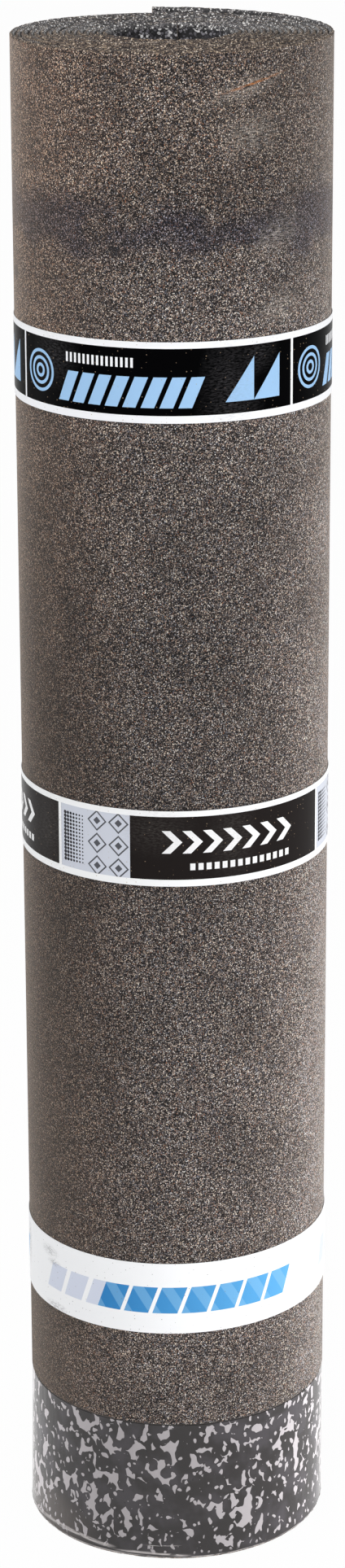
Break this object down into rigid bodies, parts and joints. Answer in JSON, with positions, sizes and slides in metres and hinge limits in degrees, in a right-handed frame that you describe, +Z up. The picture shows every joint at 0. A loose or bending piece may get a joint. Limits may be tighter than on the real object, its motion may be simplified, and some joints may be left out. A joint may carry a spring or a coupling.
{
  "type": "roll of roofing felt",
  "caption": "Upright roll of mineral-surfaced roofing felt with an open bore, a film-covered selvedge at its lower edge and three wrapped bands.",
  "frame": {"origin": "on the bore's axis, level with the roll's lower end", "axes": "+Z up along the bore; the view that the bands' fronts face is -Y, and the sheet's free end is at the back, +Y"},
  "size_m": [0.1999, 0.2025, 1.003],
  "materials": {
    "granular_felt": "bitumen felt coated with mixed grey and brown slate granules",
    "release_film": "glossy dark grey film, patchily stuck to the bitumen below",
    "black_band": "glossy printed tape, black with white borders",
    "charcoal_band": "glossy printed tape, black and pale panels with white borders",
    "white_band": "white printed tape"
  },
  "bodies": {
    "root": {"felt_roll": "granular_felt", "lap_film": "release_film", "upper_band": "black_band", "middle_band": "charcoal_band", "lower_band": "white_band"}
  },
  "joints": []
}
